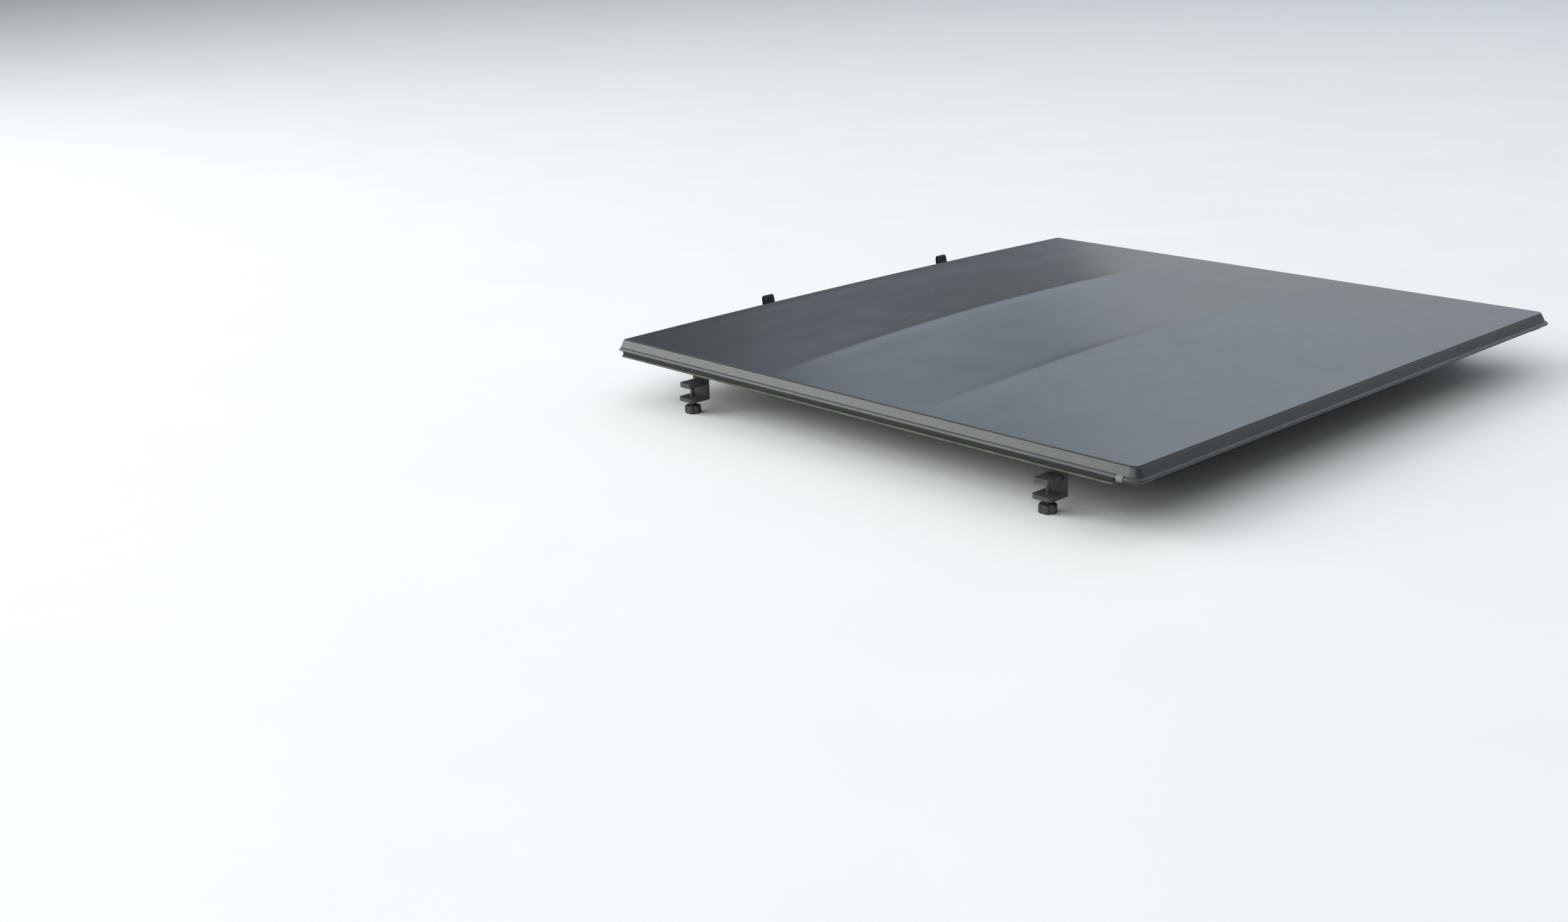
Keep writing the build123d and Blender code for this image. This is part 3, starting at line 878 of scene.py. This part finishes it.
left_path, rear_path, right_path = split_path()
for name, path, body, node in (
    ("wrapped_trim_left", left_path, "bed_frame", "edge_trim_left"),
    ("wrapped_trim_right", right_path, "bed_frame", "edge_trim_right"),
    ("wrapped_trim_rear", rear_path, ROLL_BODIES[-1], "rear_edge_trim"),
):
    trim = trim_part(name, path)
    finish_piece(trim, TRIM_VINYL, body, node, slot="vinyl_trim")


TAB_START = SPLIT - 9 * MM
TAB_END = SPLIT - 23 * MM
TAB_BULGE = 0.25 * MM
TAB_ROUNDING = 0.25 * MM
TAB_STEPS = 6

# The tab's outer face and its thickness, out from the sheet's edge and up, in millimetres.
TAB_THICKNESS = (0.8, 0.5)
TAB_OUTLINE = [
    (10.4, 22.9),
    (12.2, 21.9),
    (14.0, 20.5),
    (15.4, 18.8),
    (16.0, 17.0),
    (15.8, 14.6),
    (15.1, 11.8),
]


def welt_tab(name, side):
    """The folded end of the welt's piping, a small square patch lapped over it."""
    inner = [(o - TAB_THICKNESS[0], z - TAB_THICKNESS[1]) for o, z in TAB_OUTLINE]
    ring = TAB_OUTLINE + inner[::-1]
    points = []
    for i in range(TAB_STEPS + 1):
        y = TAB_START + (TAB_END - TAB_START) * i / TAB_STEPS
        lift = TAB_BULGE * math.sin(math.pi * i / TAB_STEPS)
        for o, z in ring:
            reach = o * MM + lift
            points.append((side * (HALF_WIDTH + reach), y, z * MM + lift * 0.5))
    obj = new_object(name, points, capped_tube(TAB_STEPS + 1, len(ring)))
    face_outwards(obj)
    bevel = obj.modifiers.new("soft_edges", "BEVEL")
    bevel.width = TAB_ROUNDING
    bevel.segments = 2
    finish_piece(obj, PAINTED_LIGHT_TAB_VINYL, ROLL_BODIES[-1], slot="vinyl_trim")


welt_tab("welt_tab_left", -1)
welt_tab("welt_tab_right", 1)

# ---------------------------------------------------------------- stow straps


def strap_route():
    """Centre line of a stow strap in the plane of its loop, from its buckle to the flap's stitching."""
    low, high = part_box("stow_strap_right")
    bottom = low.z + 0.8 * MM
    front = high.y - 0.8 * MM
    return [
        (low.y, bottom),
        (HALF_LENGTH - 20 * MM, bottom),
        (HALF_LENGTH + 4 * MM, bottom),
        (HALF_LENGTH + 13 * MM, bottom + 4 * MM),
        (front - 4 * MM, bottom + 14 * MM),
        (front - 1 * MM, bottom + 28 * MM),
        (front - 0.4 * MM, high.z - 7 * MM),
        (front - 2.5 * MM, high.z - 1.6 * MM),
        (front - 6 * MM, high.z - 1.8 * MM),
        (front - 9 * MM, high.z - 7 * MM),
        (HALF_LENGTH + 12.5 * MM, SIDE_TOP),
        (HALF_LENGTH + 8 * MM, SIDE_TOP - 8 * MM),
        (HALF_LENGTH + 1.2 * MM, SIDE_TOP - 13.5 * MM),
    ]


def smooth_line(points, per_span=8):
    """Catmull-Rom line through the points."""
    padded = [points[0]] + points + [points[-1]]
    out = []
    for p0, p1, p2, p3 in zip(padded, padded[1:], padded[2:], padded[3:]):
        for i in range(per_span):
            t = i / per_span
            place = []
            for a, b, c, d in zip(p0, p1, p2, p3):
                bend = (2 * a - 5 * b + 4 * c - d) * t**2 + (3 * b - a - 3 * c + d) * t**3
                place.append(0.5 * (2 * b + (c - a) * t + bend))
            out.append(tuple(place))
    out.append(points[-1])
    return out


WEBBING_THICKNESS = 1.5 * MM
WEBBING_FIT = 0.985
STRAP_SWAY = 0.35 * MM * 0.3


def strap(name, node, side):
    """A flat webbing strap whose edges thin out, with its flat length and width."""
    low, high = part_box(node)
    centre_x = (low.x + high.x) / 2
    half = (high.x - low.x) / 2
    line = smooth_line(strap_route())
    across = np.linspace(-1, 1, 13)
    ring = [(a, 0.5) for a in across] + [(a, -0.5) for a in across[::-1]]
    points, uvs = [], []
    travelled = 0.0
    for i, (y, z) in enumerate(line):
        before, after = line[max(i - 1, 0)], line[min(i + 1, len(line) - 1)]
        direction = Vector((after[0] - before[0], after[1] - before[1])).normalized()
        up = Vector((-direction.y, direction.x))
        if i:
            travelled += math.hypot(y - line[i - 1][0], z - line[i - 1][1])
        sway = STRAP_SWAY * soft_noise(travelled * 40, side * 3.0, 0.5)
        for a, face in ring:
            edge = 1 - 0.45 * abs(a) ** 8
            offset = face * WEBBING_THICKNESS * edge + sway
            x = centre_x + a * half * WEBBING_FIT
            points.append((x, y + up.x * offset, z + up.y * offset))
            uvs.append((a * half, travelled))
    obj = new_object(name, points, capped_tube(len(line), len(ring)), uvs)
    face_outwards(obj)
    finish_piece(obj, WEBBING, "bed_frame", node, slot="webbing")
    return obj, travelled, 2 * half


for side_name, side in (("left", -1), ("right", 1)):
    obj, length, width = strap(f"webbing_{side_name}", f"stow_strap_{side_name}", side)

# ---------------------------------------------------------------- floor, light and camera


def area_light(name, at, aim, size, power, colour):
    """A rectangular area light at a place, facing another."""
    light = bpy.data.lights.new(name, "AREA")
    light.shape = "RECTANGLE"
    light.size, light.size_y = size
    light.energy = power
    light.color = colour
    obj = bpy.data.objects.new(name, light)
    obj.location = at
    obj.rotation_euler = (Vector(aim) - Vector(at)).to_track_quat("-Z", "Y").to_euler()
    bpy.context.scene.collection.objects.link(obj)


FLOOR_REACH = 80.0
FLOOR_CLEARANCE = 0.5 * MM


def make_floor():
    """A plain pale floor just under the cover's lowest point."""
    low = cad_low.z - FLOOR_CLEARANCE
    signs = [(-1, -1), (1, -1), (1, 1), (-1, 1)]
    corners = [(x * FLOOR_REACH, y * FLOOR_REACH, low) for x, y in signs]
    floor = new_object("studio_floor", corners, [(0, 1, 2, 3)])
    material, tree, shader = node_material("studio_floor_paint", (0.80, 0.81, 0.82), 0.8)
    place = add(tree, "ShaderNodeTexCoord").outputs["Object"]
    mottle = add(tree, "ShaderNodeTexNoise", {"Vector": place}, Scale=3.0, Detail=4.0)
    tint = ramp(tree, mottle.outputs["Fac"], [(0.3, (0.79, 0.80, 0.81)), (0.7, (0.81, 0.82, 0.83))])
    tree.links.new(tint, shader.inputs["Base Color"])
    floor.data.materials.append(material)


make_floor()

world = bpy.data.worlds.new("studio")
world.use_nodes = True
background = world.node_tree.nodes["Background"]
background.inputs["Color"].default_value = (0.88, 0.93, 1.0, 1)
background.inputs["Strength"].default_value = 0.04
bpy.context.scene.world = world


def soft_panel(name, azimuth, distance, low, high, width, radiance, colour):
    """A tall soft panel facing the cover: degrees round from +X, and its height and width as angles."""
    a = math.radians(azimuth)
    bottom, top = (distance * math.tan(math.radians(e)) for e in (low, high))
    middle_height = (bottom + top) / 2
    breadth = 2 * distance * math.tan(math.radians(width / 2))
    at = (distance * math.cos(a), distance * math.sin(a), middle_height)
    power = math.pi * radiance * breadth * (top - bottom)
    area_light(name, at, (0, 0, middle_height), (breadth, top - bottom), power, colour)


SKY_SIZE = 26.0
SKY_HEIGHT = 13.0
SKY_RADIANCE = 0.90
DAYLIGHT = (0.74, 0.87, 1.0)
PALE_GREEN = (0.97, 1.0, 0.96)
sky_power = SKY_SIZE * SKY_SIZE * math.pi * SKY_RADIANCE
sky_at = (1.0, 1.0, SKY_HEIGHT)
area_light("sky_panel", sky_at, (1.0, 1.0, 0), (SKY_SIZE, SKY_SIZE), sky_power, (0.95, 0.975, 1.0))
soft_panel("horizon_panel", 13.5, 26, 0.5, 6, 47, 0.80, (1.0, 0.99, 0.97))
soft_panel("right_low_panel", 13.5, 26, 6, 14.5, 47, 0.48, (1.0, 0.985, 0.96))
soft_panel("right_high_panel", 14, 26, 14.5, 42, 47, 1.35, DAYLIGHT)
soft_panel("far_panel", 43.5, 26, 18, 42, 12, 1.55, DAYLIGHT)
soft_panel("left_panel", 132, 9, 10, 46, 44, 5.2, PALE_GREEN)
soft_panel("corner_panel", 190, 20, 16, 42, 72, 3.2, PALE_GREEN)
soft_panel("near_panel", -36, 14, 6, 40, 44, 0.62, (0.86, 0.94, 1.0))

camera_data = bpy.data.cameras.new("photo_view")
camera_data.sensor_width = 36
camera_data.lens = 43.35
camera_data.shift_x = -0.0057
camera_data.shift_y = -0.0215
camera_data.clip_start = 0.01
camera_data.clip_end = 300
camera = bpy.data.objects.new("photo_view", camera_data)
camera.location = (-3.2165, -2.4159, 1.0073)
camera.rotation_euler = Euler([math.radians(a) for a in (73.385, 1.114, -44.251)])
bpy.context.scene.collection.objects.link(camera)
bpy.context.scene.camera = camera
bpy.context.scene.view_settings.view_transform = "Standard"
